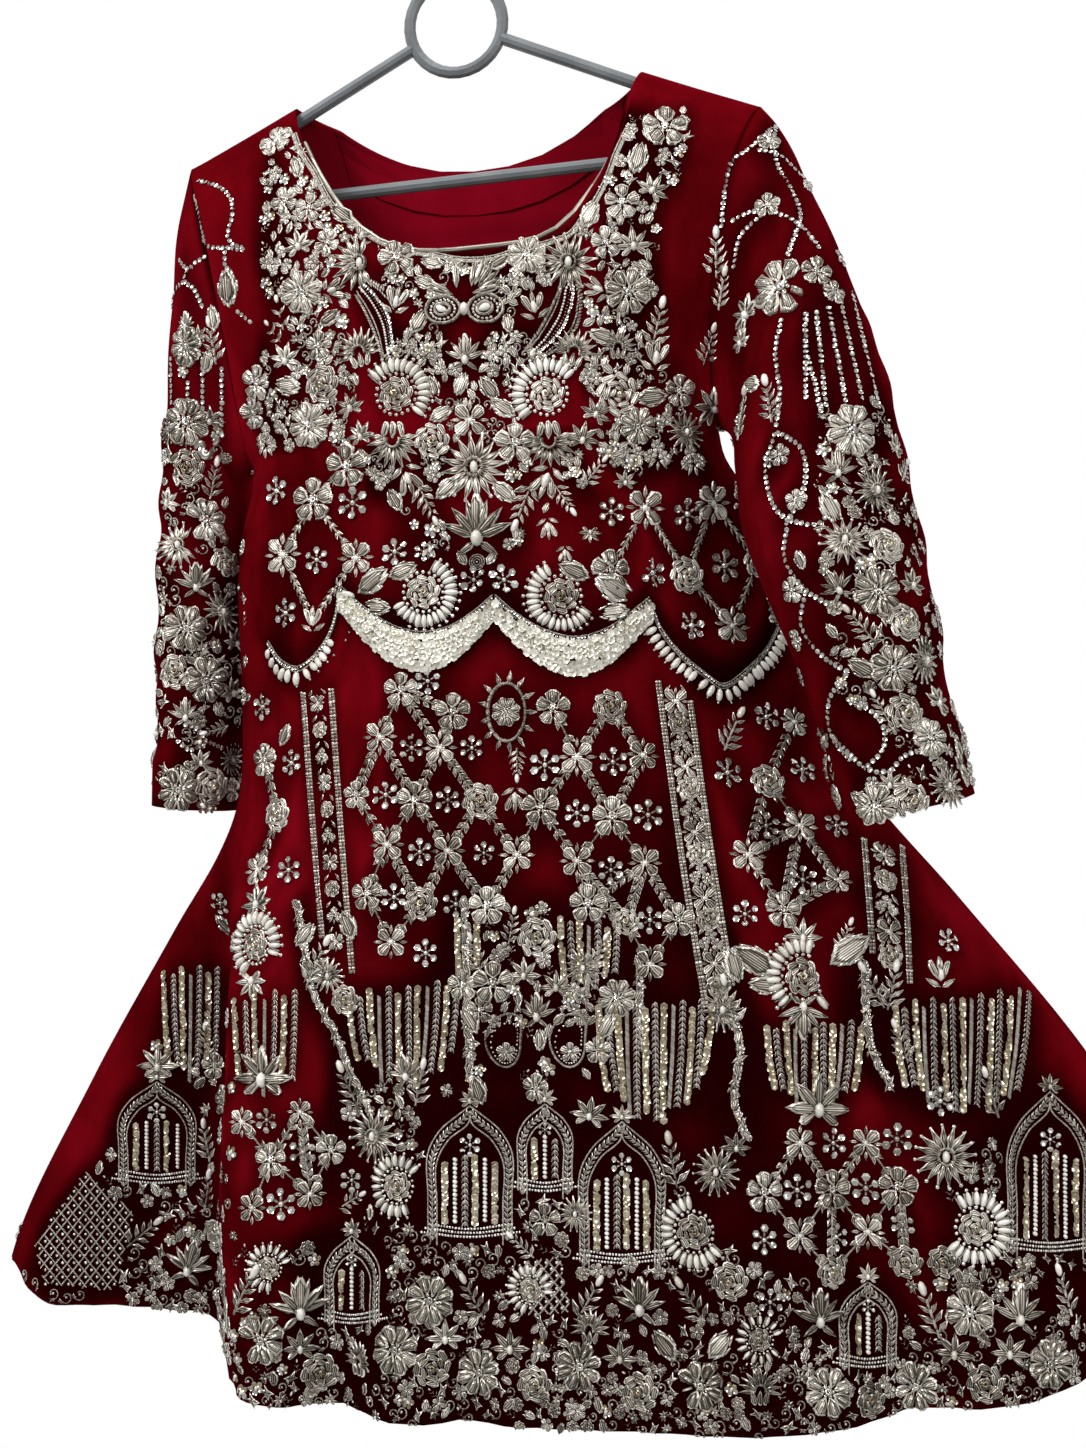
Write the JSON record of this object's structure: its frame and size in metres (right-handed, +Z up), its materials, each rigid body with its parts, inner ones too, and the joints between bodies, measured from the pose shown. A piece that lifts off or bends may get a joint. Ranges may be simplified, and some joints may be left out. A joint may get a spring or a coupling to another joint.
{
  "type": "embroidered bridal frock on a hanger",
  "caption": "Flared velvet bridal frock with three-quarter sleeves and dense metal and pearl hand work, hanging open and hollow on a round-rod hanger.",
  "frame": {"origin": "inner top of the hanger's ring, where the whole thing hangs", "axes": "+Z up, the garment's front faces -Y, +X is the right side as seen from the front"},
  "size_m": [0.7988, 0.2503, 0.914],
  "materials": {
    "velvet": "deep red velvet with silver and pearl hand work",
    "lining": "plain red lining",
    "beads": "silver beaded cord",
    "hanger": "grey moulded plastic"
  },
  "bodies": {
    "root": {"front_panel": "velvet", "back_panel": "velvet", "left_sleeve": "velvet", "right_sleeve": "velvet", "back_neck_facing": "lining", "neckline_cord": "beads", "hanger_ring": "hanger", "hanger_frame": "hanger"}
  },
  "joints": []
}
